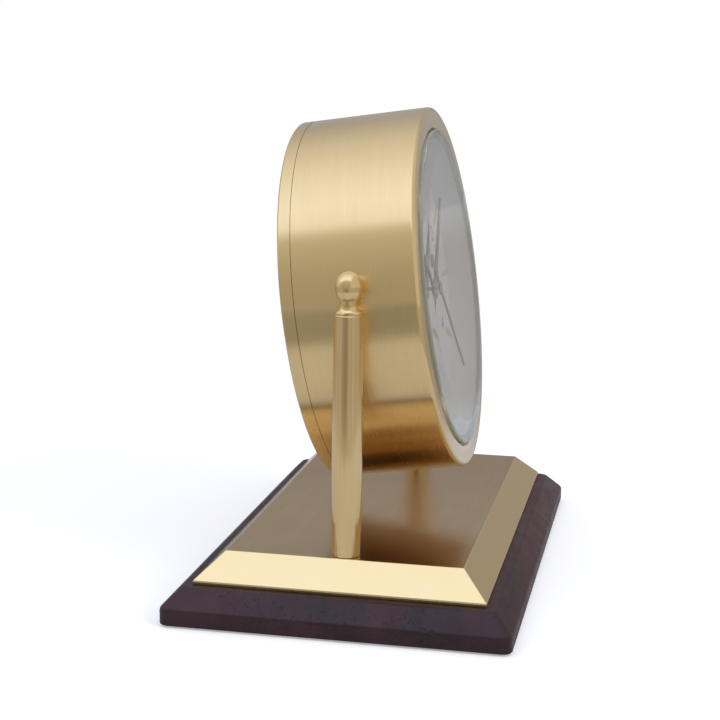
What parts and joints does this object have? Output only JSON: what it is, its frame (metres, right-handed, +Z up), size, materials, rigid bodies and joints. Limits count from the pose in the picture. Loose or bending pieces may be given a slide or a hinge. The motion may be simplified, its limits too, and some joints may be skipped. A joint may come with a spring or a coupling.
{
  "type": "desk clock",
  "caption": "Round drum clock that tilts between two turned posts on a bevelled plate and wooden base, with hands, date window, pull-off rear cover and quartz works.",
  "frame": {"origin": "middle of the underside of the felt, on the surface that the clock stands on", "axes": "+Z up, +X to the right of someone who reads the dial, the dial faces -Y and leans back"},
  "size_m": [0.159, 0.1, 0.1429],
  "materials": {
    "base_wood": "dark red-brown satin lacquer",
    "base_felt": "dark green felt",
    "plate_brass": "brushed top, polished bevels, lacquered",
    "post_brass": "satin polished",
    "drum_brass": "brushed round the drum, polished lip",
    "cover_brass": "brushed round the rim",
    "glass": "clear, bevelled and polished",
    "gasket": "matte",
    "surround": "satin silver",
    "dial": "matte silver-white",
    "marker_brass": "polished",
    "marks": "satin black",
    "hands": "satin black",
    "steel": "zinc plated",
    "support": "rolled sheet",
    "nylon": "natural nylon",
    "date_white": "matte white",
    "works_plastic": "moulded",
    "works_brass": "cut gears",
    "case_plastic": "moulded, fine grain",
    "knob_plastic": "moulded, ribbed",
    "board": "solder resist",
    "copper": "enamelled copper wire",
    "laminate": "stamped silicon steel",
    "magnet": "sintered magnet on a moulded pinion",
    "battery": "printed sleeve, left bare",
    "contacts": "nickel plated"
  },
  "bodies": {
    "stand": {"base_felt": "base_felt", "wood_base": "base_wood", "base_screws": "steel", "top_plate": "plate_brass", "post_screws": "steel", "left_post": "post_brass", "right_post": "post_brass", "left_finial": "post_brass", "right_finial": "post_brass", "pivot_screws": "steel", "pivot_washers": "nylon", "spring_washers": "steel"},
    "case": {"drum": "drum_brass", "pivot_blocks": "works_brass", "glass": "glass", "glass_gasket": "gasket", "dial_surround": "surround", "dial": "dial", "hour_markers": "marker_brass", "dial_support": "support", "case_screws": "steel", "calendar_plate": "works_plastic", "movement_housing": "case_plastic", "movement_cover": "case_plastic", "movement_screws": "steel", "train_bridge": "works_plastic", "bridge_screws": "steel", "circuit_board": "board", "quartz_crystal": "contacts", "stator": "laminate", "coil": "copper", "battery": "battery", "battery_contacts": "contacts"},
    "back": {"rear_cover": "cover_brass"},
    "minutes": {"minute_arbor": "works_brass", "minute_hand": "hands"},
    "hours": {"hour_wheel": "works_plastic", "hour_hand": "hands"},
    "setting": {"minute_wheel": "works_plastic", "set_knob": "knob_plastic"},
    "day_wheel": {"date_wheel": "works_plastic"},
    "date": {"date_ring": "date_white"},
    "date_setting": {"date_setter": "works_plastic", "date_knob": "knob_plastic"},
    "seconds": {"fourth_wheel": "works_plastic", "second_hand": "hands"},
    "third": {"third_wheel": "works_plastic"},
    "centre": {"centre_wheel": "works_brass"},
    "fifth": {"fifth_wheel": "works_plastic"},
    "stepper": {"rotor": "magnet"}
  },
  "joints": [
    {"name": "case_tilt", "type": "hinge", "parent": "stand", "child": "case", "pos_m": [0, 0, 0.08535], "axis": [1, 0, 0], "continuous": true},
    {"name": "rear_cover_pull", "type": "slide", "parent": "case", "child": "back", "axis": [0, 0.9903, -0.1392], "range_m": [0, 0.011]},
    {"name": "minute_hand_turn", "type": "hinge", "parent": "case", "child": "minutes", "pos_m": [0, 0, 0.08535], "axis": [0, 0.9903, -0.1392], "continuous": true},
    {"name": "hour_hand_turn", "type": "hinge", "parent": "case", "child": "hours", "pos_m": [0, 0, 0.08535], "axis": [0, 0.9903, -0.1392], "continuous": true},
    {"name": "set_knob_turn", "type": "hinge", "parent": "case", "child": "setting", "pos_m": [-0.00902, 0.00046, 0.0886], "axis": [0, 0.9903, -0.1392], "continuous": true},
    {"name": "day_wheel_turn", "type": "hinge", "parent": "case", "child": "day_wheel", "pos_m": [-0.01032, -0.00101, 0.07819], "axis": [0, 0.9903, -0.1392], "continuous": true},
    {"name": "date_ring_turn", "type": "hinge", "parent": "case", "child": "date", "pos_m": [0, 0, 0.08535], "axis": [0, 0.9903, -0.1392], "continuous": true},
    {"name": "date_knob_turn", "type": "hinge", "parent": "case", "child": "date_setting", "pos_m": [0.01057, 0.00147, 0.09582], "axis": [0, 0.9903, -0.1392], "continuous": true},
    {"name": "second_hand_turn", "type": "hinge", "parent": "case", "child": "seconds", "pos_m": [0, 0, 0.08535], "axis": [0, 0.9903, -0.1392], "continuous": true},
    {"name": "third_wheel_turn", "type": "hinge", "parent": "case", "child": "third", "pos_m": [0.00918, 0, 0.08535], "axis": [0, 0.9903, -0.1392], "continuous": true},
    {"name": "centre_wheel_turn", "type": "hinge", "parent": "case", "child": "centre", "pos_m": [0, 0, 0.08535], "axis": [0, 0.9903, -0.1392], "continuous": true},
    {"name": "fifth_wheel_turn", "type": "hinge", "parent": "case", "child": "fifth", "pos_m": [-0.00082, 0.00131, 0.09467], "axis": [0, 0.9903, -0.1392], "continuous": true},
    {"name": "rotor_turn", "type": "hinge", "parent": "case", "child": "stepper", "pos_m": [0.00104, 0.00228, 0.10156], "axis": [0, 0.9903, -0.1392], "continuous": true}
  ],
  "couplings": [
    {"joint": "hour_hand_turn", "follows": "minute_hand_turn", "ratio": 0.083333},
    {"joint": "set_knob_turn", "follows": "minute_hand_turn", "ratio": -0.33333},
    {"joint": "day_wheel_turn", "follows": "minute_hand_turn", "ratio": -0.041667},
    {"joint": "date_knob_turn", "follows": "date_ring_turn", "ratio": 3.875},
    {"joint": "third_wheel_turn", "follows": "second_hand_turn", "ratio": -0.13333},
    {"joint": "centre_wheel_turn", "follows": "second_hand_turn", "ratio": 0.016667},
    {"joint": "fifth_wheel_turn", "follows": "second_hand_turn", "ratio": -6},
    {"joint": "rotor_turn", "follows": "second_hand_turn", "ratio": 30}
  ]
}
